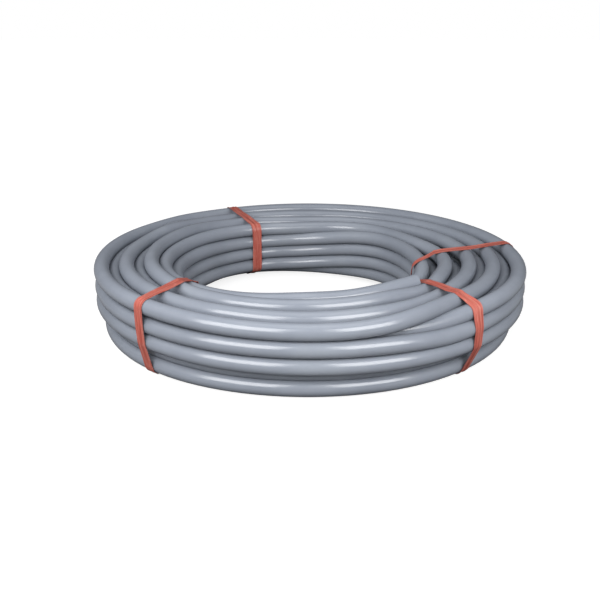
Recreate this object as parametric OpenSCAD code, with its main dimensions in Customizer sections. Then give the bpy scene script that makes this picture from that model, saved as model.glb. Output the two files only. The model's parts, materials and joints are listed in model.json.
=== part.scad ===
// Coil of cross-linked polyethylene (PEX) water and heating pipe, tied with four tape straps.
// The turns are laid in staggered columns, as a winding machine lays them between two flanges.
// Units are millimetres. The coil lies flat: +Z is up and is the coil's axis, the origin is on
// the floor at the centre of the central opening, and -Y is the front.

/* [Pipe] */
// Outside diameter of the pipe
pipe_od = 25; // [16:1:32]
// Wall thickness of the pipe
pipe_wall = 3.5; // [2:0.1:4.7]
// Length of straight pipe at each cut end
end_straight = 70; // [50:5:90]
// Depth to which a cut end is open
end_depth = 60; // [40:5:85]

/* [Winding] */
// Outside diameter of the coil
coil_od = 732; // [650:2:900]
// Number of turns stacked in one column
turns_high = 4; // [4:1:6]
// Number of columns from the outside of the ring to its inside
columns = 7; // [5:2:9]
// Gap between one turn and the next
turn_gap = 0.3; // [0.2:0.05:0.5]
// Half thickness of the material that joins two neighbouring turns
web = 2.5; // [1.5:0.5:4]
// Sweep over which a turn steps down to the next
step_sweep = 30; // [20:1:30]
// Direction at which the top turn of the innermost column begins to step down, anticlockwise from +X
inner_step_dir = -10; // [-20:1:-10]
// Direction at which the top turn of the innermost column runs out into its straight cut end
inner_end_dir = -63; // [-80:1:-63]
// Direction at which the outermost column steps down to the turn that ends at the outer cut end
outer_step_dir = 165; // [160:1:175]
// Direction at which that turn runs out into its straight cut end
outer_end_dir = 78; // [40:1:100]
// Rise of the inner cut end above its turn, in degrees
inner_end_rise = 5; // [4:1:8]

/* [Straps] */
// Width of the strapping tape
strap_w = 15; // [10:1:25]
// Thickness of the strapping tape
strap_t = 0.8; // [0.5:0.1:1.5]
// Clearance between a strap and the turns that it bridges
strap_gap = 0.3; // [0.2:0.05:0.5]
// Direction of the front left strap, anticlockwise from +X
strap_front_left_dir = -133; // [-150:1:-120]
// Direction of the front right strap
strap_front_right_dir = -42; // [-43:1:-42]
// Direction of the back left strap
strap_back_left_dir = 118; // [104:1:126]
// Direction of the back right strap
strap_back_right_dir = -4; // [-6:1:30]

/* [Hidden] */
// Distance between the centres of neighbouring turns
pitch = pipe_od + turn_gap;
// Radial step from one column to the next, with each turn nested between two of its neighbour's
column_step = pitch * sin(60);
// Radius of the outermost column's centre line
outer_r = coil_od / 2 - pipe_od / 2;
// Radius of the innermost column's centre line
inner_r = outer_r - (columns - 1) * column_step;
// Height of the lowest pipe above the floor: the straps pass under it
lift = strap_t + strap_gap;
// Turns of the outermost column that are whole rings; the one below them ends at the outer cut end
outer_rings = turns_high - 1;
low_turn = turns_high - outer_rings - 1;
// Difference in diameter from one fused stretch of pipe to the next, so that no two share a surface
skin = 0.8;
// Length by which a straight cut end laps onto its turn
end_lap = 3;
// Overlap of a step with the turns at its two ends, in degrees
step_lap = 0.4;
round_fn = 48;
ring_fn = 144;

pipe_colour = [0.56, 0.60, 0.67];
strap_colour = [0.85, 0.36, 0.25];

// Radius of a column's centre line, with column 0 on the outside of the ring
function column_r(c) = outer_r - c * column_step;

// Height of a turn's centre, with turn 0 at the bottom: even columns stand half a pipe higher
function turn_z(c, t) = lift + pipe_od / 2 + pitch * (t + (c % 2 == 0 ? 0.5 : 0));

// Centre of a turn in the ring's section
function turn_at(c, t) = [column_r(c), turn_z(c, t)];

// Centres of the whole rings that show, anticlockwise round the section from the bottom
function rim() = concat(
    [for (t = [0 : turns_high - outer_rings]) turn_at(1, t)],
    [for (t = [turns_high - outer_rings : turns_high - 1]) turn_at(0, t)],
    [for (c = [1 : columns - 2]) turn_at(c, turns_high - 1)],
    [for (t = [1 : turns_high - 1]) turn_at(columns - 1, turns_high - 1 - t)],
    [for (c = [1 : columns - 3]) turn_at(columns - 1 - c, 0)]
);

// A bar along the line between two neighbouring turns, which joins them in the tip of their groove
module groove_web(a, b) {
    d = b - a;
    translate(a)
        rotate(atan2(d[1], d[0]))
            translate([0, -web])
                square([norm(d), 2 * web]);
}

// Section through the ring: every turn that shows, webbed to its neighbours on a solid core
module ring_section() {
    pts = rim();
    n = len(pts);
    polygon(pts);
    for (i = [0 : n - 1]) {
        translate(pts[i])
            circle(d = pipe_od, $fn = round_fn);
        groove_web(pts[i], pts[(i + 1) % n]);
    }
}

// Section of one more turn laid on the ring, webbed to the two turns that it lies on
module laid_section(at, below, beside) {
    translate(at)
        circle(d = pipe_od - skin, $fn = round_fn);
    groove_web(at, below);
    groove_web(at, beside);
}

// A turn laid on the ring, which runs clockwise from one direction to another
module laid_turn(at, below, beside, from_dir, to_dir) {
    rotate([0, 0, to_dir])
        rotate_extrude(angle = from_dir - to_dir, $fn = ring_fn)
            laid_section(at, below, beside);
}

// The stretch of a turn that steps down, clockwise, from one level to the next
module step_down(r, from_dir, from_z, to_z) {
    half = step_sweep / 2 + step_lap;
    slope = asin((from_z - to_z) / (2 * r * sin(step_sweep / 2)));
    translate([0, 0, (from_z + to_z) / 2])
        rotate([0, 0, from_dir - step_sweep / 2])
            rotate([slope, 0, 0])
                rotate([0, 0, -half])
                    rotate_extrude(angle = 2 * half, $fn = ring_fn)
                        translate([r, 0])
                            circle(d = pipe_od - 2 * skin, $fn = round_fn);
}

// Sets a cut end on its turn: the pipe's straight end runs off along +X
module at_end(r, z, dir, turn, rise) {
    translate([r * cos(dir), r * sin(dir), z])
        rotate([0, 0, dir + turn])
            rotate([0, -rise, 0])
                rotate([0, 90, 0])
                    children();
}

// Outside of the straight pipe at a cut end
module end_pipe() {
    translate([0, 0, -end_lap])
        cylinder(h = end_straight + end_lap, d = pipe_od, $fn = round_fn);
}

// Open bore of a cut end
module end_bore() {
    translate([0, 0, end_straight - end_depth])
        cylinder(h = end_depth + 1, d = pipe_od - 2 * pipe_wall, $fn = round_fn);
}

// The inner cut end, on the top turn of the innermost column
module at_inner_end() {
    at_end(inner_r, turn_z(columns - 1, turns_high - 1), inner_end_dir, 90, inner_end_rise)
        children();
}

// The outer cut end, on the lowest turn of the outermost column
module at_outer_end() {
    at_end(outer_r, turn_z(0, low_turn), outer_end_dir, -90, 0)
        children();
}

// The wound pipe
module pipe_coil() {
    top = turns_high - 1;
    inner = columns - 1;
    color(pipe_colour)
        difference() {
            union() {
                rotate_extrude($fn = ring_fn)
                    ring_section();
                laid_turn(turn_at(inner, top), turn_at(inner, top - 1),
                    turn_at(inner - 1, top), inner_end_dir + 360, inner_step_dir);
                step_down(inner_r, inner_step_dir, turn_z(inner, top), turn_z(inner, top - 1));
                at_inner_end() end_pipe();
                laid_turn(turn_at(0, low_turn), turn_at(0, low_turn + 1),
                    turn_at(1, low_turn), outer_step_dir - step_sweep, outer_end_dir);
                step_down(outer_r, outer_step_dir, turn_z(0, low_turn + 1), turn_z(0, low_turn));
                at_outer_end() end_pipe();
            }
            at_inner_end() end_bore();
            at_outer_end() end_bore();
        }
}

// Directions in which a strap leaves each corner turn that it bends round
function bend_dirs(pts) = [for (i = [0 : len(pts) - 1])
    let (d = pts[(i + 1) % len(pts)] - pts[i]) atan2(d[1], d[0])];

// Outline of a band stretched round a set of corner turns, at a distance from their surface
function band_outline(pts, away, steps = 6) =
    let (dirs = bend_dirs(pts), n = len(pts), r = pipe_od / 2 + away)
    [for (i = [0 : n - 1])
        let (
            a = dirs[(i + n - 1) % n] - 90,
            b = dirs[i] - 90,
            sweep = (b - a + 720) % 360,
            far = r / cos(sweep / steps / 2)
        )
        for (k = [0 : steps - 1])
            let (g = a + (k + 0.5) * sweep / steps)
            pts[i] + far * [cos(g), sin(g)]];

// Corner turns that a strap bends round at the bottom and on the outside of the ring, where the
// lowest turn of the outermost column is the one given
function outer_corners(lowest) = [
    turn_at(columns - 2, 0),
    turn_at(1, 0),
    turn_at(0, lowest),
    turn_at(0, turns_high - 1)
];

// Corner turns at the top and on the inside, where the innermost column is whole
function inner_corners() = [
    turn_at(columns - 1, turns_high - 1),
    turn_at(columns - 1, 0)
];

// The same where the innermost column has lost its top turn to the inner cut end
function short_inner_corners() = [
    turn_at(columns - 3, turns_high - 1),
    turn_at(columns - 1, turns_high - 2),
    turn_at(columns - 1, 0)
];

// One strap: a closed band of tape that bridges from turn to turn round the ring
module strap(dir, corners) {
    color(strap_colour)
        rotate([0, 0, dir])
            rotate([90, 0, 0])
                translate([0, 0, -strap_w / 2])
                    linear_extrude(strap_w)
                        difference() {
                            polygon(band_outline(corners, strap_gap + strap_t));
                            polygon(band_outline(corners, strap_gap));
                        }
}

module strap_front_left() {
    strap(strap_front_left_dir, concat(outer_corners(low_turn + 1), inner_corners()));
}

module strap_front_right() {
    strap(strap_front_right_dir, concat(outer_corners(low_turn + 1), short_inner_corners()));
}

// Over the turn of the outer cut end
module strap_back_left() {
    strap(strap_back_left_dir, concat(outer_corners(low_turn), inner_corners()));
}

module strap_back_right() {
    strap(strap_back_right_dir, concat(outer_corners(low_turn + 1), inner_corners()));
}

pipe_coil();
strap_front_left();
strap_front_right();
strap_back_left();
strap_back_right();
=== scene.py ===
import json
import logging
import math
from dataclasses import dataclass, field
from enum import Enum
from typing import Callable, Optional, Sequence, Union

import bpy
import numpy as np
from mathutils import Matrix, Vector


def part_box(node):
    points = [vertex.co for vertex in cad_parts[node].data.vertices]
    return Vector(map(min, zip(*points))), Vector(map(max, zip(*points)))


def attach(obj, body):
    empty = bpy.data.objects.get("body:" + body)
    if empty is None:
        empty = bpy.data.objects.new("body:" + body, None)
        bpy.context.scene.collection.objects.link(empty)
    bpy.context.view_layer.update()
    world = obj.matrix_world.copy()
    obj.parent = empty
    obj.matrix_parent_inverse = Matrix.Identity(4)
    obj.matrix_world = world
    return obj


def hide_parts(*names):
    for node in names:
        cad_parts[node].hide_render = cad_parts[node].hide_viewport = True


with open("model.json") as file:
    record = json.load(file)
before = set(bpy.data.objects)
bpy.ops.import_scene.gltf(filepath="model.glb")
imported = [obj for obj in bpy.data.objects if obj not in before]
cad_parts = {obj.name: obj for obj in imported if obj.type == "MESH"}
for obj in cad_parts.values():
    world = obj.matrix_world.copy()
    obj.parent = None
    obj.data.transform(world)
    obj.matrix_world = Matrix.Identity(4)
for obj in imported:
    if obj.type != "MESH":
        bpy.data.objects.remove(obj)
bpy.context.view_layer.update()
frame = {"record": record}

MM = 0.001
log = logging.getLogger("coil")


def linear(code: str) -> tuple[float, float, float, float]:
    """Turn a colour written as sRGB hex into the linear colour that a shader takes.

    Args:
        code: Six hex digits, such as "8F98A6".

    Returns:
        Red, green, blue and an alpha of 1.
    """
    parts = [int(code[i:i + 2], 16) / 255 for i in (0, 2, 4)]
    red, green, blue = [
        c / 12.92 if c <= 0.04045 else ((c + 0.055) / 1.055) ** 2.4 for c in parts
    ]
    return red, green, blue, 1.0


def smooth_step(x: np.ndarray) -> np.ndarray:
    """Rise smoothly from 0 to 1 as x does, level at both ends."""
    x = np.clip(x, 0.0, 1.0)
    return x * x * (3.0 - 2.0 * x)


# ---------------------------------------------------------------- finishes


def per_mm(along: float, across: float) -> tuple[float, float, float]:
    """Give the scale of a pattern, laid out in mm, whose features have a real length and width.

    Args:
        along: The features' length along the piece, in mm.
        across: Their width across it, in mm.

    Returns:
        The scale for a Mapping node.
    """
    return 1.0 / along, 1.0 / across, 1.0


@dataclass
class NodeSheet:
    """The node tree of a material or of the world while it is being laid out."""

    owner: Union[bpy.types.Material, bpy.types.World]

    def __post_init__(self) -> None:
        """Start an empty node tree."""
        self.owner.use_nodes = True
        self.owner.node_tree.nodes.clear()

    def add(self, kind: str, inputs: Optional[dict] = None, stops: Sequence[tuple] = (),
            **settings) -> bpy.types.Node:
        """Add one node.

        Args:
            kind: The node's type, such as "ShaderNodeTexNoise".
            inputs: For each input socket, a value or the output socket that feeds it.
            stops: A colour ramp's stops, each a place and a linear colour, in rising order.
            settings: The node's own properties.

        Returns:
            The new node.
        """
        node = self.owner.node_tree.nodes.new(kind)
        for key, value in settings.items():
            setattr(node, key, value)
        for key, value in (inputs or {}).items():
            if isinstance(value, bpy.types.NodeSocket):
                self.owner.node_tree.links.new(value, node.inputs[key])
            else:
                node.inputs[key].default_value = value
        for i, (place, colour) in enumerate(stops):
            elements = node.color_ramp.elements
            element = elements[i] if i < len(elements) else elements.new(place)
            element.position = place
            element.color = colour
        return node


@dataclass(frozen=True)
class ExtrudedPex:
    """Cross-linked polyethylene pipe: satin, coloured through, drawn from a sizing die.

    The die leaves faint lines along the pipe, and handling leaves a soft haze and short scuffs.
    """

    body: str = "8E949F"
    chalked: str = "969CA6"
    shaded: str = "878D98"
    scuffed: str = "A2A7B0"
    # from clean skin to hazed
    roughness: tuple[float, float] = (0.19, 0.265)
    circumference_mm: float = 78.5
    # length and width of each pattern's largest features
    die_line_mm: tuple[float, float] = (500.0, 1.54)
    haze_mm: tuple[float, float] = (62.5, 16.7)
    scuff_mm: tuple[float, float] = (20.0, 1.25)
    cloud_mm: float = 111.1
    grain_mm: float = 1.111

    def make(self, pipe_length_mm: float) -> bpy.types.Material:
        """Build the material for a pipe whose UV map runs once along it and once around it.

        Args:
            pipe_length_mm: The pipe's whole length, which the map's first direction spans.

        Returns:
            The material.
        """
        s = NodeSheet(bpy.data.materials.new("extruded_pex"))
        uv = s.add("ShaderNodeUVMap", uv_map="UVMap")
        in_mm = s.add("ShaderNodeMapping", {
            "Vector": uv.outputs["UV"],
            "Scale": (pipe_length_mm, self.circumference_mm, 1.0),
        })
        place = s.add("ShaderNodeTexCoord")
        # die lines: about 1.5 mm apart around the pipe and half a metre long
        die_space = s.add("ShaderNodeMapping", {
            "Vector": in_mm.outputs["Vector"], "Scale": per_mm(*self.die_line_mm),
        })
        die_lines = s.add("ShaderNodeTexNoise", {
            "Vector": die_space.outputs["Vector"], "Scale": 1.0, "Detail": 3.0, "Roughness": 0.6,
        })
        # cloudy tone: the pipe's colour drifts over some 11 cm
        clouds = s.add("ShaderNodeTexNoise", {
            "Vector": place.outputs["Object"], "Scale": 1.0 / (self.cloud_mm * MM),
            "Detail": 4.0, "Roughness": 0.55,
        })
        # handling haze: patches drawn out along the pipe, broken up into ones of a few mm
        haze_space = s.add("ShaderNodeMapping", {
            "Vector": in_mm.outputs["Vector"], "Scale": per_mm(*self.haze_mm),
        })
        haze = s.add("ShaderNodeTexNoise", {
            "Vector": haze_space.outputs["Vector"], "Scale": 1.0, "Detail": 6.0, "Roughness": 0.62,
        })
        # scuffs: thin scratches some 2 cm long, in the haze's patches only
        scuff_space = s.add("ShaderNodeMapping", {
            "Vector": in_mm.outputs["Vector"], "Scale": per_mm(*self.scuff_mm),
        })
        scuffs = s.add("ShaderNodeTexNoise", {
            "Vector": scuff_space.outputs["Vector"], "Scale": 1.0, "Detail": 2.0, "Roughness": 0.5,
        })
        scuff_mask = s.add("ShaderNodeMapRange", {
            "Value": scuffs.outputs["Fac"], "From Min": 0.66, "From Max": 0.9, "To Max": 0.15,
        })
        # grain of the plastic's skin, drawn as coarse as it needs to show
        grain = s.add("ShaderNodeTexNoise", {
            "Vector": place.outputs["Object"], "Scale": 1.0 / (self.grain_mm * MM),
            "Detail": 2.0, "Roughness": 0.5,
        })

        tone = s.add("ShaderNodeValToRGB", {"Fac": clouds.outputs["Fac"]}, stops=[
            (0.30, linear(self.shaded)), (0.52, linear(self.body)), (0.74, linear(self.chalked)),
        ])
        hazed = s.add("ShaderNodeMix", {
            0: s.add("ShaderNodeMapRange", {
                "Value": haze.outputs["Fac"], "From Min": 0.5, "From Max": 0.75, "To Max": 0.22,
            }).outputs["Result"],
            6: tone.outputs["Color"], 7: linear(self.chalked),
        }, data_type="RGBA")
        lined = s.add("ShaderNodeMix", {
            0: s.add("ShaderNodeMapRange", {
                "Value": die_lines.outputs["Fac"], "From Min": 0.55, "From Max": 0.75, "To Max": 0.25,
            }).outputs["Result"],
            6: hazed.outputs[2], 7: linear(self.shaded),
        }, data_type="RGBA")
        scuffed = s.add("ShaderNodeMix", {
            0: s.add("ShaderNodeMath", {
                0: scuff_mask.outputs["Result"], 1: haze.outputs["Fac"],
            }, operation="MULTIPLY").outputs["Value"],
            6: lined.outputs[2], 7: linear(self.scuffed),
        }, data_type="RGBA")

        rough = s.add("ShaderNodeMapRange", {
            "Value": haze.outputs["Fac"], "From Min": 0.35, "From Max": 0.75,
            "To Min": self.roughness[0], "To Max": self.roughness[1],
        })
        relief = s.add("ShaderNodeMath", {
            0: die_lines.outputs["Fac"],
            1: s.add("ShaderNodeMath", {0: grain.outputs["Fac"], 1: 0.25},
                     operation="MULTIPLY").outputs["Value"],
        }, operation="ADD")
        bump = s.add("ShaderNodeBump", {
            "Strength": 0.25, "Distance": 0.12 * MM, "Height": relief.outputs["Value"],
        })
        shader = s.add("ShaderNodeBsdfPrincipled", {
            "Base Color": scuffed.outputs[2],
            "Roughness": rough.outputs["Result"],
            "IOR": 1.5,
            "Specular IOR Level": 0.9,
            "Normal": bump.outputs["Normal"],
        })
        s.add("ShaderNodeOutputMaterial", {"Surface": shader.outputs["BSDF"]})
        return s.owner


@dataclass(frozen=True)
class SplitTape:
    """Thin orange-red polyethylene tape: stretched lengthwise, so that it is ribbed along itself."""

    body: str = "BA6053"
    # the lighter and darker rib colours are partly the tape's own streaks and partly painted sheen
    # and painted shade on the ribs
    ribs_sheen: str = "C97A6C"
    ribs_shade: str = "9E463A"
    whitened: str = "D99B90"
    roughness: float = 0.38
    # length and width of each pattern's largest features
    rib_mm: tuple[float, float] = (83.3, 2.94)
    crease_mm: tuple[float, float] = (11.1, 4.0)

    def make(self, name: str, length_mm: float, width_mm: float) -> bpy.types.Material:
        """Build the material for a tape whose UV map runs once along it and once across it.

        Args:
            name: The material's name.
            length_mm: The tape's length.
            width_mm: Its width.

        Returns:
            The material.
        """
        s = NodeSheet(bpy.data.materials.new(name))
        uv = s.add("ShaderNodeUVMap", uv_map="UVMap")
        in_mm = s.add("ShaderNodeMapping", {
            "Vector": uv.outputs["UV"], "Scale": (length_mm, width_mm, 1.0),
        })
        # ribs: about 3 mm apart across the tape, some 8 cm long; besides their bump, their colour is
        # painted lighter and darker
        rib_space = s.add("ShaderNodeMapping", {
            "Vector": in_mm.outputs["Vector"], "Scale": per_mm(*self.rib_mm),
        })
        ribs = s.add("ShaderNodeTexNoise", {
            "Vector": rib_space.outputs["Vector"], "Scale": 1.0, "Detail": 3.0, "Roughness": 0.6,
        })
        # stress whitening where the tape is creased: patches of a centimetre
        crease_space = s.add("ShaderNodeMapping", {
            "Vector": in_mm.outputs["Vector"], "Scale": per_mm(*self.crease_mm),
        })
        creases = s.add("ShaderNodeTexNoise", {
            "Vector": crease_space.outputs["Vector"], "Scale": 1.0, "Detail": 4.0, "Roughness": 0.6,
        })
        # tone across the ribs: partly the tape's own streaks, partly painted sheen on the ribs and
        # painted shade between them
        tone = s.add("ShaderNodeValToRGB", {"Fac": ribs.outputs["Fac"]}, stops=[
            (0.34, linear(self.ribs_shade)), (0.50, linear(self.body)), (0.66, linear(self.ribs_sheen)),
        ])
        creased = s.add("ShaderNodeMix", {
            0: s.add("ShaderNodeMapRange", {
                "Value": creases.outputs["Fac"], "From Min": 0.55, "From Max": 0.75, "To Max": 0.5,
            }).outputs["Result"],
            6: tone.outputs["Color"], 7: linear(self.whitened),
        }, data_type="RGBA")
        relief = s.add("ShaderNodeMath", {
            0: ribs.outputs["Fac"], 1: creases.outputs["Fac"],
        }, operation="ADD")
        bump = s.add("ShaderNodeBump", {
            "Strength": 0.6, "Distance": 0.4 * MM, "Height": relief.outputs["Value"],
        })
        shader = s.add("ShaderNodeBsdfPrincipled", {
            "Base Color": creased.outputs[2],
            "Roughness": self.roughness,
            "IOR": 1.5,
            "Normal": bump.outputs["Normal"],
        })
        s.add("ShaderNodeOutputMaterial", {"Surface": shader.outputs["BSDF"]})
        return s.owner


# ---------------------------------------------------------------- the winding


class Side(Enum):
    """Where a turn of the route passes to its next place in the ring."""

    FRONT_RIGHT = -57.0
    BACK_LEFT = 146.0


@dataclass
class Winding:
    """The line that the pipe's centre follows, from the top cut end to the bottom one.

    Each turn lies in a place named by a column, A outermost to G innermost, and a row, 1 on top.
    Columns A, C, E and G stand half a pipe higher than B, D and F between them. Lengths in here
    are in pipe diameters, and directions in degrees anticlockwise from +X.
    """

    # in metres: the pipe's outside diameter, the outermost centre line's radius, and the height
    # of the lowest pipe above the floor
    pipe_od: float
    outer: float
    lift: float
    # the greatest height of a centre
    ceiling: float
    start_end: "CutEnd"
    last_end: "CutEnd"

    # points in one turn
    steps: int = 120
    # how near the centres of two turns may come
    apart: float = 0.985
    # and of two firmly held turns, where they are pressed and flatten a little
    pressed: float = 0.88
    # share of an overlap that one round of pushing takes away
    push: float = 0.45
    # share of its way back to its place that a turn goes in the first round
    easing: float = 0.03
    # how strongly the pipe smooths its own kinks
    stiffness: float = 0.03

    # every place the pipe goes through, in order
    route: tuple[str, ...] = (
        "G1", "E1", "C1", "A1", "B1", "C2", "D1", "E2", "F1", "G2", "G3", "G4", "F4", "F3",
        "F2", "E4", "D4", "D3", "D2", "C3", "C4", "B4", "B3", "B2", "A2", "A3", "A4",
    )
    # the first place that is left at the back
    first_back: str = "C4"
    # degrees over which a turn passes to its next place
    front_sweep: float = 66.0
    back_sweep: float = 36.0
    # degrees over which a turn is led away from its place, and joins a straight cut end
    lead_sweep: float = 12.0
    end_sweep: float = 30.0

    # height of the top turn in the columns that stand high
    top_height: float = 4.0
    # height of the lowest turn that shows, and how far in and how high the next one lies
    foot_height: float = 0.5
    above_foot: tuple[float, float] = (0.18, 1.36)
    # radius of each crest at 8 directions, from -180 in steps of 45
    crest_radius: dict[str, tuple[float, ...]] = field(default_factory=lambda: {
        "A": (14.14, 14.14, 14.14, 14.14, 14.14, 14.14, 14.14, 14.14),
        "C": (12.55, 12.50, 12.36, 12.50, 12.50, 12.25, 12.10, 12.35),
        "E": (10.95, 10.85, 10.50, 11.00, 10.90, 10.45, 10.00, 10.60),
        "G": (9.97, 9.95, 8.85, 9.50, 9.20, 8.60, 8.50, 9.30),
    })
    # how far a crest has sunk below its full height
    crest_sink: dict[str, tuple[float, ...]] = field(default_factory=lambda: {
        "A": (0.00, 0.00, 0.00, 0.00, 0.00, 0.00, 0.00, 0.00),
        "C": (0.00, 0.00, 0.00, 0.00, 0.00, 0.05, 0.12, 0.05),
        "E": (0.00, 0.00, 0.00, 0.00, 0.00, 0.05, 0.14, 0.05),
        "G": (0.28, 0.17, 0.00, 0.00, 0.05, 0.15, 0.18, 0.15),
    })
    # radius of the inner wall, which the pipe's spring has pulled off the round
    wall_radius: tuple[float, ...] = (9.65, 9.45, 8.70, 8.20, 7.60, 7.35, 8.30, 9.20)
    # radius of the lowest turn that shows
    foot_radius: tuple[float, ...] = (13.60, 13.80, 13.62, 13.50, 13.40, 13.40, 13.40, 13.45)
    # how firmly the places that show are held while the turns are pushed apart, where hidden
    # ones have 1
    firmness: dict[str, float] = field(default_factory=lambda: {
        "A1": 8.0, "A2": 40.0, "A3": 40.0, "A4": 8.0, "B3": 40.0, "B4": 40.0,
        "C1": 6.0, "E1": 6.0, "G1": 6.0,
        "G2": 4.0, "G3": 4.0, "G4": 4.0, "B1": 1.5, "D1": 1.5, "F1": 1.5,
    })
    led_firmness: float = 40.0
    tucked_firmness: float = 10.0
    # the cut ends, which don't move at all
    fixed: float = 1000.0
    # the least at which a turn is drawn back to its place with all its easing
    full_easing: float = 8.0
    # the least at which two turns may be pressed together
    pressing: float = 30.0

    # where turns that show are led out of their places, by direction, radius and height
    led: dict[int, tuple[tuple[float, float, float], ...]] = field(default_factory=lambda: {
        1: ((-58, 8.40, 4.08), (-68, 8.45, 4.00), (-78, 8.55, 4.00), (-90, 8.95, 3.98),
            (-105, 9.50, 3.92), (-120, 9.79, 3.83), (-135, 9.95, 3.80), (-158, 10.00, 3.74),
            (-180, 9.97, 3.72), (-210, 9.60, 3.78), (-225, 9.25, 3.82), (-240, 8.80, 3.82),
            (-265, 8.15, 3.84), (-285, 8.45, 3.90), (-300, 8.68, 3.95), (-310, 8.50, 3.98),
            (-325, 8.25, 4.00), (-340, 8.30, 4.00), (-350, 8.70, 4.00), (-360, 9.15, 4.00),
            (-385, 9.52, 4.00)),
        2: ((-30, 9.52, 4.00), (-45, 9.90, 4.00), (-60, 10.10, 4.00), (-75, 10.20, 4.00),
            (-90, 10.35, 4.00), (-105, 10.65, 4.00), (-120, 10.75, 4.00), (-135, 10.87, 4.00)),
        3: ((-35, 11.05, 4.00), (-50, 11.55, 4.00), (-60, 11.80, 4.00), (-75, 12.10, 4.00),
            (-90, 12.36, 4.00)),
        4: ((-35, 12.55, 4.00), (-44, 12.72, 4.12), (-50, 12.85, 4.24), (-55, 13.02, 4.28),
            (-60, 13.32, 4.28), (-65, 13.75, 4.26), (-70, 14.02, 4.18), (-76, 14.14, 4.06),
            (-90, 14.14, 3.99)),
        5: ((-35, 14.14, 4.00), (-44, 14.14, 3.98), (-50, 14.04, 3.86), (-55, 13.60, 3.60),
            (-60, 13.28, 3.42), (-65, 13.18, 3.38), (-72, 13.20, 3.42), (-80, 13.25, 3.46),
            (-90, 13.27, 3.48)),
        10: ((-250, 8.55, 2.85), (-265, 8.10, 2.95), (-280, 7.70, 3.15), (-295, 7.35, 3.50),
             (-308, 7.20, 3.75), (-325, 7.15, 3.86), (-345, 7.22, 3.86), (-360, 7.40, 3.86),
             (-373, 7.75, 3.84), (-385, 8.10, 3.75), (-395, 8.38, 3.50), (-405, 8.50, 3.20),
             (-415, 8.50, 3.00)),
    })
    # where turns under those give way to them
    tucked: dict[int, tuple[tuple[float, float, float], ...]] = field(default_factory=lambda: {
        9: ((-290, 9.45, 3.45), (-305, 9.45, 3.10), (-330, 9.50, 2.95), (-350, 9.75, 3.05),
            (-365, 10.05, 3.20), (-382, 10.25, 3.35)),
        11: ((-260, 8.40, 1.90), (-280, 7.85, 2.15), (-300, 7.40, 2.60), (-315, 7.30, 2.85),
             (-345, 7.30, 2.86), (-360, 7.45, 2.85), (-380, 7.85, 2.75), (-400, 8.10, 2.25)),
        12: ((-260, 8.40, 0.95), (-280, 7.85, 1.25), (-300, 7.45, 1.65), (-315, 7.35, 1.85),
             (-345, 7.40, 1.86), (-360, 7.55, 1.85), (-380, 7.80, 1.75), (-400, 8.05, 1.25)),
        13: ((-260, 9.10, 0.50), (-280, 8.40, 0.60), (-300, 7.80, 0.75), (-315, 7.55, 0.86),
             (-345, 7.60, 0.86), (-360, 7.75, 0.85), (-380, 8.00, 0.75), (-400, 8.60, 0.50)),
        15: ((-300, 8.80, 2.60), (-330, 8.45, 2.90), (-345, 8.30, 3.00), (-360, 8.30, 3.10),
             (-375, 8.70, 3.10), (-390, 9.20, 2.80)),
    })

    run: np.ndarray = field(init=False)
    direction: np.ndarray = field(init=False)
    radius: np.ndarray = field(init=False)
    height: np.ndarray = field(init=False)
    hold: np.ndarray = field(init=False)

    def __post_init__(self) -> None:
        """Lay the route out and push its turns apart."""
        self.lay_out()
        self.push_apart()

    @staticmethod
    def round_table(values: Sequence[float], direction: np.ndarray) -> np.ndarray:
        """Read a table of 8 directions at any direction, on a smooth closed curve.

        Args:
            values: The value at each direction, from -180 in steps of 45.
            direction: The directions at which it is wanted.

        Returns:
            The values there.
        """
        v = np.asarray(values, dtype=float)
        t = ((direction + 180.0) % 360.0) / 45.0
        i = np.floor(t).astype(int) % 8
        f = t - np.floor(t)
        a, b, c, d = v[(i - 1) % 8], v[i], v[(i + 1) % 8], v[(i + 2) % 8]
        return b + 0.5 * f * (c - a + f * (2 * a - 5 * b + 4 * c - d + f * (3 * b - a - 3 * c + d)))

    def place(self, name: str, direction: np.ndarray) -> tuple[np.ndarray, np.ndarray]:
        """Find a named place's radius and height.

        Args:
            name: A column and a row, such as "E1".
            direction: The directions at which it is wanted.

        Returns:
            Its radii and heights there.
        """
        letters = "ABCDEFG"
        column, row = letters.index(name[0]), int(name[1])
        high = column % 2 == 0
        top = self.top_height if high else self.top_height - 0.5
        if row == 1:
            # a crest, or the trough between two crests
            beside = [name[0]] if high else [letters[column - 1], letters[column + 1]]
            radius = sum(self.round_table(self.crest_radius[n], direction) for n in beside)
            sink = sum(self.round_table(self.crest_sink[n], direction) for n in beside)
            return radius / len(beside), top - sink / len(beside)
        if name in ("B3", "B4"):
            foot = self.round_table(self.foot_radius, direction)
            inset, height = (0.0, self.foot_height) if name == "B4" else self.above_foot
            return foot - inset, np.full_like(foot, height)
        outer = self.round_table(self.crest_radius["A"], direction)
        inner = self.round_table(self.wall_radius, direction)
        radius = outer + (inner - outer) * column / (len(letters) - 1)
        return radius, np.full_like(radius, top + 1.0 - row)

    def lay_out(self) -> None:
        """Run the route round the ring, passing from place to place."""
        start = self.start_end.tip_direction
        back_from = self.route.index(self.first_back)
        crossing = (start - Side.FRONT_RIGHT.value) % 360.0 + 360.0
        # where each place is left, in degrees run from the top cut end, and over what sweep
        passes = []
        for k in range(len(self.route) - 1):
            if k == back_from:
                crossing += (Side.FRONT_RIGHT.value - Side.BACK_LEFT.value) % 360.0
            elif k:
                crossing += 360.0
            passes.append((crossing, self.back_sweep if k >= back_from else self.front_sweep))
        turned = passes[-1][0] + Side.BACK_LEFT.value - self.last_end.tip_direction
        run = np.arange(0.0, turned, 360.0 / self.steps)
        self.direction = start - run
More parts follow.
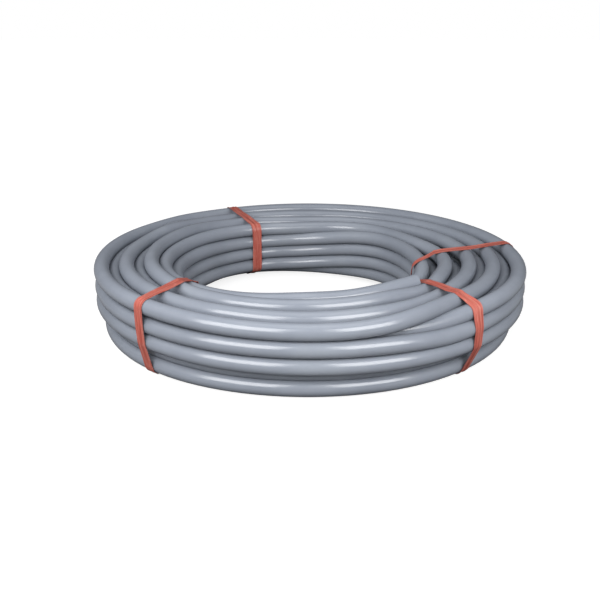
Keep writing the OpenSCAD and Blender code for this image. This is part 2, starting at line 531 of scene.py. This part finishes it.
        # how far each pass is done at each point, and so the share of each place in it
        done = [smooth_step((run - at) / sweep + 0.5) for at, sweep in passes]
        share = np.array([
            (done[k - 1] if k else 1.0) * (1.0 - done[k] if k < len(done) else 1.0)
            for k in range(len(self.route))
        ])
        share /= share.sum(axis=0)
        places = [self.place(name, self.direction) for name in self.route]
        self.radius = sum(w * p[0] for w, p in zip(share, places))
        self.height = sum(w * p[1] for w, p in zip(share, places))
        self.hold = sum(w * self.firmness.get(n, 1.0) for w, n in zip(share, self.route))
        self.run = run
        for turns, firm in ((self.led, self.led_firmness), (self.tucked, self.tucked_firmness)):
            for turn, stops in turns.items():
                self.lead(turn, stops, firm)
        for end, along in ((self.start_end, run), (self.last_end, run[-1] - run)):
            self.fix_end(end, along)

    def lead(self, turn: int, stops: Sequence[tuple[float, float, float]],
             firm: float) -> None:
        """Lead a stretch of one turn through chosen places.

        Args:
            turn: The turn's number, from 1 at the top cut end.
            stops: The places, by direction, radius and height.
            firm: How firmly the turn is held there.
        """
        start = self.start_end.tip_direction
        at = np.array([start - stop[0] + 360.0 * (turn - 1) for stop in stops])
        inside = smooth_step((self.run - at[0]) / self.lead_sweep + 1.0)
        inside *= smooth_step((at[-1] - self.run) / self.lead_sweep + 1.0)
        # the corners of the lead are rounded over some 20 degrees
        width = self.steps // 40
        count = 2 * width + 1
        for line, k in ((self.radius, 1), (self.height, 2)):
            led = np.interp(self.run, at, [stop[k] for stop in stops])
            led = np.convolve(np.pad(led, width, "edge"), np.full(count, 1.0), "valid") / count
            line += inside * (led - line)
        self.hold += inside * (firm - self.hold).clip(0.0)

    def fix_end(self, end: "CutEnd", along: np.ndarray) -> None:
        """Put the pipe's last stretch on the straight line of its cut end.

        Args:
            end: The cut end.
            along: How far each point is from that end, in degrees round the ring.
        """
        line_radius, line_height = end.line(self.direction)
        blend = 1.0 - smooth_step((along - end.sweep) / self.end_sweep)
        near = along < end.sweep + self.end_sweep
        self.radius[near] += (blend * (line_radius - self.radius))[near]
        self.height[near] += (blend * (line_height - self.height))[near]
        self.hold[along < end.sweep] = self.fixed

    def push_apart(self, rounds: int = 500) -> None:
        """Move turns that overlap apart in every cross-section, keeping the pipe smooth.

        Args:
            rounds: How many times all of them are moved.
        """
        n = len(self.run)
        turns = -(-n // self.steps)
        spare = turns * self.steps - n

        def by_turn(values: np.ndarray, rest: float) -> np.ndarray:
            """Stack the turns, so that one column is one direction."""
            return np.append(values, np.full(spare, rest)).reshape(turns, self.steps)

        r, h = self.radius.copy(), self.height.copy()
        # of a pair, the turn that is held less firmly gives way more
        give = 1.0 / by_turn(self.hold, 1.0)
        share = give[:, None] / (give[:, None] + give[None])
        itself = np.eye(turns, dtype=bool)[:, :, None]
        pull = np.minimum(self.hold, self.full_easing) / self.full_easing
        firm = by_turn(self.hold, 1.0) >= self.pressing
        apart = np.where(firm[:, None] & firm[None], self.pressed, self.apart)
        held = self.hold >= self.fixed
        for k in range(rounds):
            dr = by_turn(r, np.nan)
            dh = by_turn(h, np.nan)
            dr, dh = dr[:, None] - dr[None], dh[:, None] - dh[None]
            gap = np.sqrt(dr * dr + dh * dh)
            over = np.where(itself, 0.0, np.nan_to_num(apart - gap).clip(0.0))
            push = self.push * over * share / np.nan_to_num(gap, nan=1.0).clip(1e-6)
            r += (np.nan_to_num(dr) * push).sum(axis=1).ravel()[:n]
            h += (np.nan_to_num(dh) * push).sum(axis=1).ravel()[:n]
            easing = self.easing * pull * (1.0 - k / rounds) ** 2
            r += easing * (self.radius - r)
            h += easing * (self.height - h)
            for line in (r, h):
                bend = np.zeros(n)
                bend[2:-2] = 4 * (line[1:-3] + line[3:-1]) - 6 * line[2:-2] - line[:-4] - line[4:]
                line += self.stiffness * bend
            h = h.clip(0.5, self.ceiling)
            r = r.clip(None, self.outer / self.pipe_od)
            r[held], h[held] = self.radius[held], self.height[held]
        log.info("winding: %d turns, worst overlap %.2f of the pipe", turns, over.max())
        self.radius, self.height = r, h

    def points(self) -> np.ndarray:
        """Give the centre line's points.

        Returns:
            The points in metres, from the top cut end to the bottom one.
        """
        a = np.radians(self.direction)
        r = self.radius * self.pipe_od
        z = self.height * self.pipe_od + self.lift
        line = np.column_stack([r * np.cos(a), r * np.sin(a), z])
        line[0] = self.start_end.tip
        return np.vstack([line, self.last_end.tip])

    def length(self) -> float:
        """Give the pipe's length in metres."""
        return float(np.linalg.norm(np.diff(self.points(), axis=0), axis=1).sum())

    def crossing_points(self, direction: Callable[[float], float]) -> np.ndarray:
        """Find where the turns cross an upright sheet through the ring.

        Args:
            direction: The sheet's direction at a radius in metres.

        Returns:
            One row of radius and centre height in metres for each turn.
        """
        r, z = self.radius * self.pipe_od, self.height * self.pipe_od + self.lift
        off = self.direction - np.array([direction(x) for x in r])
        cell = np.floor(off / 360.0)
        rows = []
        for i in np.nonzero(cell[:-1] != cell[1:])[0]:
            f = (off[i] - 360.0 * cell[i]) / (off[i] - off[i + 1])
            rows.append((r[i] + f * (r[i + 1] - r[i]), z[i] + f * (z[i + 1] - z[i])))
        return np.array(rows)


@dataclass
class CutEnd:
    """A straight, square-cut end of the pipe, as the record's mount places it."""

    tip: np.ndarray
    outwards: np.ndarray
    straight: float
    pipe_od: float
    lift: float

    @classmethod
    def from_mount(cls, name: str, straight: float, bore_depth: float, pipe_od: float,
                   lift: float) -> "CutEnd":
        """Read a cut end from the record.

        Args:
            name: The mount's name.
            straight: The length of the pipe's straight end.
            bore_depth: The depth of its bore, whose middle is the mount's place.
            pipe_od: The pipe's outside diameter.
            lift: The height of the lowest pipe above the floor.

        Returns:
            The cut end.
        """
        mount = next(m for m in frame["record"]["mounts"] if m["name"] == name)
        axis = np.array(mount["axis"], dtype=float)
        return cls(np.array(mount["pos_m"]) + axis * bore_depth / 2, axis, straight, pipe_od, lift)

    @property
    def tip_direction(self) -> float:
        """Direction of the cut face's centre, in degrees."""
        return math.degrees(math.atan2(self.tip[1], self.tip[0]))

    @property
    def foot(self) -> np.ndarray:
        """The point at which the straight end begins."""
        return self.tip - self.outwards * self.straight

    @property
    def sweep(self) -> float:
        """Degrees round the ring that the straight end takes up."""
        foot = math.degrees(math.atan2(self.foot[1], self.foot[0]))
        return abs(foot - self.tip_direction)

    def line(self, direction: np.ndarray) -> tuple[np.ndarray, np.ndarray]:
        """Find where the end's straight line, run on, crosses some directions.

        Args:
            direction: The directions, in degrees.

        Returns:
            The radii and heights there, in pipe diameters.
        """
        a = np.radians(direction)
        foot, out = self.foot, self.outwards
        across = np.cos(a) * out[1] - np.sin(a) * out[0]
        # directions that run beside the line, which nothing is read at, are kept from dividing by 0
        across = np.where(np.abs(across) < 0.2, 0.2, across)
        radius = (foot[0] * out[1] - foot[1] * out[0]) / across
        flat = math.hypot(out[0], out[1])
        along = (radius * np.cos(a) - foot[0]) * out[0] + (radius * np.sin(a) - foot[1]) * out[1]
        height = foot[2] + along / flat * out[2]
        return radius / self.pipe_od, (height - self.lift) / self.pipe_od


# ---------------------------------------------------------------- pieces


def deselect() -> None:
    """Leave object mode with nothing selected."""
    if bpy.context.object and bpy.context.object.mode != "OBJECT":
        bpy.ops.object.mode_set(mode="OBJECT")
    bpy.ops.object.select_all(action="DESELECT")


def finish_piece(piece: bpy.types.Object, name: str, material: bpy.types.Material) -> None:
    """Name a piece, dress it and set its place in the frame.

    Args:
        piece: The mesh object.
        name: The node that it stands for.
        material: Its finish.
    """
    piece.name = f"look_{name}"
    piece.data.name = piece.name
    piece.data.materials.clear()
    piece.data.materials.append(material)
    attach(piece, "root")
    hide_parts(name)


@dataclass
class WoundPipe:
    """The pipe itself, one tube along the whole winding with a bore at each cut end."""

    winding: Winding
    bore_depth: float
    wall: float = 3.5 * MM
    # the rims' small chamfer
    edge: float = 0.3 * MM
    # faces around the pipe
    sides: int = 28

    def build(self) -> bpy.types.Object:
        """Draw the pipe along its line and cut its two ends.

        Returns:
            The finished pipe.
        """
        deselect()
        bpy.ops.curve.primitive_bezier_curve_add()
        curve = bpy.context.object
        points = self.winding.points()
        curve.data.splines.clear()
        spline = curve.data.splines.new("POLY")
        spline.points.add(len(points) - 1)
        spline.points.foreach_set("co", np.column_stack([points, np.ones(len(points))]).ravel())
        curve.data.bevel_depth = self.winding.pipe_od / 2
        curve.data.bevel_resolution = (self.sides - 4) // 2
        curve.data.use_fill_caps = False
        bpy.ops.object.convert(target="MESH")
        pipe = bpy.context.object
        bpy.ops.object.mode_set(mode="EDIT")
        bpy.ops.mesh.select_all(action="SELECT")
        bpy.ops.mesh.normals_make_consistent(inside=False)
        bpy.ops.object.mode_set(mode="OBJECT")
        count = len(pipe.data.vertices)
        self.cut_end(pipe, range(self.sides), self.winding.start_end)
        self.cut_end(pipe, range(count - self.sides, count), self.winding.last_end)
        deselect()
        pipe.select_set(True)
        bpy.context.view_layer.objects.active = pipe
        bpy.ops.object.shade_smooth_by_angle(angle=math.radians(40))
        length = self.winding.length()
        finish_piece(pipe, "pipe_coil", ExtrudedPex().make(length / MM))
        log.info("%.1f m of pipe", length)
        return pipe

    def cut_end(self, pipe: bpy.types.Object, ring: range, end: CutEnd) -> None:
        """Turn the open end of the tube in to its wall and down its bore.

        Args:
            pipe: The tube.
            ring: The vertices of its last ring.
            end: Where that end is.
        """
        bpy.context.view_layer.objects.active = pipe
        bpy.ops.object.mode_set(mode="EDIT")
        bpy.ops.mesh.select_mode(type="VERT")
        bpy.ops.mesh.select_all(action="DESELECT")
        bpy.ops.object.mode_set(mode="OBJECT")
        for i in ring:
            pipe.data.vertices[i].select = True
        bpy.ops.object.mode_set(mode="EDIT")
        outer = self.winding.pipe_od / 2
        bore = outer - self.wall
        radius, centre, out = outer, Vector(end.tip), Vector(end.outwards)
        bpy.ops.transform.translate(value=tuple(-self.edge * out))
        centre -= self.edge * out
        # shave the rim, cross the wall, turn into the bore and run down it
        for wanted, push in (
            (outer - self.edge, self.edge), (bore + self.edge, 0.0),
            (bore, -self.edge), (bore, -self.bore_depth),
        ):
            bpy.ops.mesh.extrude_region_move(
                TRANSFORM_OT_translate={"value": tuple(push * out)}
            )
            centre += push * out
            ratio = wanted / radius
            bpy.ops.transform.resize(
                value=(ratio, ratio, ratio), center_override=tuple(centre)
            )
            radius = wanted
        bpy.ops.mesh.edge_face_add()
        bpy.ops.object.mode_set(mode="OBJECT")


@dataclass
class TapeStrap:
    """One band of thin tape, pulled tight round the ring and bridging from crest to crest."""

    node: str
    winding: Winding
    # the tape's direction at some radii, which are in pipe diameters and rise
    course: tuple[tuple[float, float], ...]
    # direction at the foot of the tape's outer side
    foot_dir: float
    # below 1, most of the outer side's lean is near its top
    lean_power: float = 1.0
    # radius, in pipe diameters, at which the tape's welded ends stand up in a ruck
    ruck_radius: Optional[float] = None
    width: float = 18.5 * MM
    thick: float = 0.5 * MM
    # from the pipe to the middle of the tape
    clear: float = 0.35 * MM
    # how high the ruck stands, and half its length
    ruck: tuple[float, float] = (5.0 * MM, 5.0 * MM)
    # how high the tape's edges curl and its broad and narrow pleats stand, and how far it drifts
    curl: float = 0.3 * MM
    broad_pleat: float = 0.35 * MM
    narrow_pleat: float = 0.2 * MM
    drift: float = 0.5 * MM
    # height of the crests' tops, and how far in from the outer side the lean reaches, both in
    # pipe diameters
    crest_top: float = 4.5
    lean_reach: float = 2.0
    # squares across the tape, and their length along it
    across: int = 12
    pitch: float = 2.5 * MM
    seed: int = 0

    def direction(self, radius: float, side: float = 0.0) -> float:
        """Give the tape's direction at a radius.

        Args:
            radius: The radius in metres.
            side: How far aside of the tape's middle, in metres.

        Returns:
            The direction in degrees.
        """
        at = np.interp(radius / self.winding.pipe_od, *zip(*self.course))
        return float(at) + math.degrees(side / radius)

    def lean(self, radius: float, height: float) -> float:
        """Give the direction at a place of the outline, whose outer side may lean.

        Args:
            radius: The place's radius in metres.
            height: Its height in metres.

        Returns:
            The direction in degrees.
        """
        pipe_od, outer = self.winding.pipe_od, self.winding.outer
        down = min(max(1.0 - height / (self.crest_top * pipe_od), 0.0), 1.0)
        near = min(max(1.0 - (outer - radius) / (self.lean_reach * pipe_od), 0.0), 1.0)
        lean = (self.foot_dir - self.course[-1][1]) * down**self.lean_power
        return self.direction(radius) + lean * near

    def taut_line(self, side: float) -> np.ndarray:
        """Find the convex outline round the turns in a sheet beside the tape's middle.

        Args:
            side: How far aside of the middle the sheet stands, in metres.

        Returns:
            The outline's radii and heights in metres.
        """
        turns = self.winding.crossing_points(lambda radius: self.direction(radius, side))
        away = self.winding.pipe_od / 2 + self.clear
        around = np.radians(np.arange(0.0, 360.0, 3.0))
        cloud = (turns[:, None] + away * np.column_stack([np.cos(around), np.sin(around)])[None])
        return convex_hull(cloud.reshape(-1, 2))

    def outlines(self) -> np.ndarray:
        """Find the outline at each place across the tape.

        Returns:
            Radius and height, by place across and by place along.
        """
        sides = np.linspace(-0.5, 0.5, self.across + 1) * self.width
        # the middle's outline is divided evenly, and each place on it gives a ray from the centre
        middle = self.taut_line(0.0)
        closed = np.vstack([middle, middle[:1]])
        at = np.append(0.0, np.cumsum(np.linalg.norm(np.diff(closed, axis=0), axis=1)))
        count = int(round(at[-1] / self.pitch))
        wanted = np.linspace(0.0, at[-1], count, endpoint=False)
        line = np.column_stack([np.interp(wanted, at, closed[:, k]) for k in (0, 1)])
        centre = (middle.min(axis=0) + middle.max(axis=0)) / 2
        angle = np.arctan2(*(line - centre).T[::-1])
        ray = np.column_stack([np.cos(angle), np.sin(angle)])
        # the other outlines are read on the same rays
        lines = []
        for side in sides:
            off = self.taut_line(side) - centre
            turn = np.arctan2(off[:, 1], off[:, 0])
            ends = np.roll(off, -1, axis=0)
            order = np.argsort(turn)
            first = np.searchsorted(turn[order], angle, side="right") - 1
            a, b = off[order][first], ends[order][first]
            edge = b - a
            reach = (a[:, 0] * edge[:, 1] - a[:, 1] * edge[:, 0]) / (
                ray[:, 0] * edge[:, 1] - ray[:, 1] * edge[:, 0]
            )
            lines.append(centre + reach[:, None] * ray)
        return np.array(lines)

    def build(self) -> bpy.types.Object:
        """Wrap a flat length of tape round the outline and give it its thickness.

        Returns:
            The finished tape.
        """
        lines = self.outlines()
        line = lines[self.across // 2]
        count = len(line)
        deselect()
        bpy.ops.mesh.primitive_grid_add(
            x_subdivisions=count, y_subdivisions=self.across, size=1.0, calc_uvs=True
        )
        tape = bpy.context.object
        mesh = tape.data
        flat = np.empty(3 * len(mesh.vertices))
        mesh.vertices.foreach_get("co", flat)
        flat = flat.reshape(-1, 3)
        along = (flat[:, 0] + 0.5) * count
        across = flat[:, 1] * 2.0
        mesh.vertices.foreach_set("co", self.wrap(lines, along, across).ravel())
        mesh.update()
        bpy.ops.object.mode_set(mode="EDIT")
        bpy.ops.mesh.select_all(action="SELECT")
        bpy.ops.mesh.remove_doubles(threshold=0.05 * MM)
        bpy.ops.mesh.normals_make_consistent(inside=False)
        bpy.ops.object.mode_set(mode="OBJECT")
        solid = tape.modifiers.new("tape_thickness", "SOLIDIFY")
        solid.thickness = self.thick
        solid.offset = 0.0
        bpy.ops.object.modifier_apply(modifier=solid.name)
        bpy.ops.object.shade_smooth_by_angle(angle=math.radians(50))
        length = np.linalg.norm(np.diff(np.vstack([line, line[:1]]), axis=0), axis=1).sum()
        finish = SplitTape().make(f"{self.node}_tape", length / MM, self.width / MM)
        finish_piece(tape, self.node, finish)
        log.info("%.0f mm of tape", length / MM)
        return tape

    def wrap(self, lines: np.ndarray, along: np.ndarray, across: np.ndarray) -> np.ndarray:
        """Place the flat tape's points round the ring.

        Args:
            lines: The outlines, as radius and height, by place across and by place along.
            along: Each point's place along the outline, in steps of it.
            across: Each point's place across the tape, from -1 to 1.

        Returns:
            The points in the frame, in metres.
        """
        count = lines.shape[1]
        line = lines[self.across // 2]
        tangent = np.roll(line, -1, axis=0) - np.roll(line, 1, axis=0)
        tangent /= np.linalg.norm(tangent, axis=1)[:, None]
        normal = np.column_stack([tangent[:, 1], -tangent[:, 0]])
        i = np.round(along).astype(int) % count
        strip = np.round((across + 1.0) / 2.0 * self.across).astype(int)
        at, out = lines[strip, i], normal[i]
        turn = 2.0 * np.pi * along / count
        rng = np.random.default_rng(self.seed)
        broad, edge, narrow, _, taper, drift = rng.uniform(0.0, 2.0 * np.pi, 6)
        # the tape lifts at its edges and has pleats along it
        lift = (
            self.curl * across**2 * (1 + np.sin(7 * turn + edge))
            + self.broad_pleat * (1 + np.sin(5 * across + 2 * turn + broad))
            + self.narrow_pleat * (1 + np.sin(9 * across - 3 * turn + narrow))
        )
        if self.ruck_radius is not None:
            top = np.where(line[:, 1] > line[:, 1].mean(), line[:, 0], np.inf)
            peak = np.argmin(abs(top - self.ruck_radius * self.winding.pipe_od))
            near = np.abs((along - peak + count / 2) % count - count / 2) * self.pitch
            high, half_length = self.ruck
            lift += high * np.exp(-(near / half_length) ** 2) * (0.7 + 0.3 * across)
        at = at + out * lift[:, None]
        # under the coil, it stays clear of the floor
        at[:, 1] = at[:, 1].clip(0.6 * self.thick)
        # it narrows by up to a tenth, drifts a little sideways and leans on the outer side
        width = 1.0 - 0.05 * (1 + np.sin(5 * turn + taper)) * (0.5 + 0.5 * np.sin(2 * turn))
        side = across * self.width / 2 * width + self.drift * np.sin(3 * turn + drift)
        a = np.radians(np.array([self.lean(r, z) for r, z in at]))
        x = at[:, 0] * np.cos(a) - side * np.sin(a)
        y = at[:, 0] * np.sin(a) + side * np.cos(a)
        return np.column_stack([x, y, at[:, 1]])


def convex_hull(points: np.ndarray) -> np.ndarray:
    """Give the convex outline of flat points.

    Args:
        points: The points, one in a row.

    Returns:
        The points of the outline, anticlockwise.
    """
    order = points[np.lexsort((points[:, 1], points[:, 0]))]

    def half(run: np.ndarray) -> list:
        """Walk one side of the outline, and leave out its last point, where the other begins."""
        kept: list = []
        for p in run:
            while len(kept) > 1:
                a, b = kept[-2], kept[-1]
                if (b[0] - a[0]) * (p[1] - a[1]) - (b[1] - a[1]) * (p[0] - a[0]) > 0:
                    break
                kept.pop()
            kept.append(p)
        return kept[:-1]

    return np.array(half(order) + half(order[::-1]))


# ---------------------------------------------------------------- studio


@dataclass(frozen=True)
class SoftBox:
    """A soft lamp that faces the coil."""

    name: str
    # degrees from the front towards the right, and above the horizon
    direction: float
    elevation: float
    # metres
    distance: float
    size: tuple[float, float]
    watts: float
    # whether the coil's sheen shows it
    glossy: bool = True
    # how many times its light may bounce
    bounces: int = 8

    def build(self) -> None:
        """Hang the lamp."""
        a, e = math.radians(self.direction), math.radians(self.elevation)
        towards = Vector((math.sin(a) * math.cos(e), -math.cos(a) * math.cos(e), math.sin(e)))
        bpy.ops.object.light_add(type="AREA", location=self.distance * towards)
        lamp = bpy.context.object
        lamp.name = self.name
        lamp.data.shape = "RECTANGLE"
        lamp.data.size, lamp.data.size_y = self.size
        lamp.data.energy = self.watts
        lamp.data.cycles.max_bounces = self.bounces
        lamp.rotation_euler = (-towards).to_track_quat("-Z", "Y").to_euler()
        lamp.visible_camera = False
        lamp.visible_glossy = self.glossy


@dataclass
class Studio:
    """White floor in a white room, soft lamps and the camera.

    The two boxes at the front give the sheen on the front turns. Their light doesn't bounce, which
    keeps the grooves dark. The washes light the coil's two sides and leave no sheen.
    """

    boxes: tuple[SoftBox, ...] = (
        SoftBox("soft_box_left", -30.5, 30.0, 1.15, (0.68, 0.6), 7.1, bounces=0),
        SoftBox("soft_box_right", 28.0, 30.0, 1.15, (0.62, 0.6), 6.4, bounces=0),
        SoftBox("soft_box_top", 0.0, 88.0, 2.4, (1.8, 1.8), 7.5),
        SoftBox("wash_far_left", -88.0, 38.0, 2.2, (1.6, 1.2), 19.0, glossy=False),
        SoftBox("wash_far_right", 80.0, 30.0, 2.2, (1.6, 1.2), 9.0, glossy=False),
    )
    # the floor's colour under the lamps, and the glow that the camera sees on it, which rises
    # from the coil's foot outwards
    floor_grey: str = "A6A6A6"
    floor_size: float = 40.0
    glow: tuple[float, float] = (0.8, 1.0)
    glow_rises: tuple[float, float] = (0.6, 2.5)
    # the room's own light
    room_tint: str = "F7FAFF"
    room_strength: float = 0.11
    # metres, degrees below the horizon, and millimetres
    camera_at: tuple[float, float, float] = (-0.0166, -1.2945, 0.4882)
    camera_tilt: float = 19.94
    lens: float = 46.25
    sensor: float = 36.0

    def build(self) -> None:
        """Set up the floor, the lamps, the room and the camera."""
        self.floor()
        for box in self.boxes:
            box.build()
        self.room()
        self.camera()

    def floor(self) -> None:
        """Lay a wide white floor that keeps the coil's shadow."""
        deselect()
        bpy.ops.mesh.primitive_plane_add(size=self.floor_size)
        floor = bpy.context.object
        floor.name = "floor"
        s = NodeSheet(bpy.data.materials.new("white_floor"))
        path = s.add("ShaderNodeLightPath")
        matt = s.add("ShaderNodeBsdfDiffuse", {"Color": linear(self.floor_grey)})
        place = s.add("ShaderNodeTexCoord")
        away = s.add("ShaderNodeVectorMath", {0: place.outputs["Object"]}, operation="LENGTH")
        rising = s.add("ShaderNodeMapRange", {
            "Value": away.outputs["Value"],
            "From Min": self.glow_rises[0], "From Max": self.glow_rises[1],
            "To Min": self.glow[0], "To Max": self.glow[1],
        })
        glow = s.add("ShaderNodeEmission", {
            "Color": linear("FFFFFF"), "Strength": rising.outputs["Result"],
        })
        lit = s.add("ShaderNodeAddShader", {0: matt.outputs[0], 1: glow.outputs[0]})
        seen = s.add("ShaderNodeMixShader", {
            0: path.outputs["Is Camera Ray"], 1: matt.outputs[0], 2: lit.outputs[0],
        })
        s.add("ShaderNodeOutputMaterial", {"Surface": seen.outputs[0]})
        # the glow is only seen, so it is no lamp to be sampled
        s.owner.cycles.emission_sampling = "NONE"
        floor.data.materials.append(s.owner)

    def room(self) -> None:
        """Surround the coil with even light, which the camera sees as white."""
        s = NodeSheet(bpy.data.worlds.new("white_room"))
        path = s.add("ShaderNodeLightPath")
        seen = s.add("ShaderNodeBackground", {"Color": linear("FFFFFF"), "Strength": 1.0})
        felt = s.add("ShaderNodeBackground", {
            "Color": linear(self.room_tint), "Strength": self.room_strength,
        })
        mix = s.add("ShaderNodeMixShader", {
            0: path.outputs["Is Camera Ray"], 1: felt.outputs[0], 2: seen.outputs[0],
        })
        s.add("ShaderNodeOutputWorld", {"Surface": mix.outputs[0]})
        bpy.context.scene.world = s.owner

    def camera(self) -> None:
        """Stand the camera in front of the coil, looking down on it."""
        bpy.ops.object.camera_add(
            location=self.camera_at, rotation=(math.radians(90.0 - self.camera_tilt), 0.0, 0.0)
        )
        camera = bpy.context.object
        camera.data.lens = self.lens
        camera.data.sensor_width = self.sensor
        bpy.context.scene.camera = camera
        bpy.context.scene.view_settings.view_transform = "Standard"


# ---------------------------------------------------------------- main


def straps(winding: Winding) -> list[TapeStrap]:
    """Give the four straps, each with its own course over the turns.

    Args:
        winding: The turns that they are tied round.

    Returns:
        The straps, not yet built.
    """
    return [
        TapeStrap(
            "strap_front_left", winding,
            ((8.8, -144.0), (10.1, -139.5), (10.9, -137.0), (12.2, -134.9), (14.1, -132.4)),
            foot_dir=-131.2, ruck_radius=9.3, seed=1,
        ),
        TapeStrap(
            "strap_front_right", winding,
            ((8.1, -41.0), (9.4, -42.8), (10.2, -44.9), (12.2, -48.6), (13.2, -49.1),
             (14.1, -48.4)),
            foot_dir=-50.1, lean_power=0.5, seed=2,
        ),
        TapeStrap(
            "strap_back_left", winding, ((8.1, 119.5), (14.1, 117.0)), foot_dir=117.0, seed=3,
        ),
        TapeStrap(
            "strap_back_right", winding, ((7.4, -19.0), (8.6, -4.5), (14.1, 6.2)),
            foot_dir=6.2, seed=4,
        ),
    ]


def main() -> None:
    """Build the coil in its frame and report each piece."""
    logging.basicConfig(level=logging.INFO, format="%(message)s")
    Studio().build()
    pipe_od = 25.0 * MM
    straight_end = 70.0 * MM
    bore_depth = 60.0 * MM
    low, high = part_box("pipe_coil")
    lift = low[2]
    outer = (high[0] - low[0]) / 2 - pipe_od / 2
    ceiling = (high[2] - pipe_od / 2 - lift) / pipe_od
    start_end, last_end = [
        CutEnd.from_mount(name, straight_end, bore_depth, pipe_od, lift)
        for name in ("inner_end_bore", "outer_end_bore")
    ]
    winding = Winding(pipe_od, outer, lift, ceiling, start_end, last_end)
    for part in (WoundPipe(winding, bore_depth), *straps(winding)):
        piece = part.build()
        log.info("%s: %d faces", piece.name, len(piece.data.polygons))


if __name__ == "__main__":
    main()
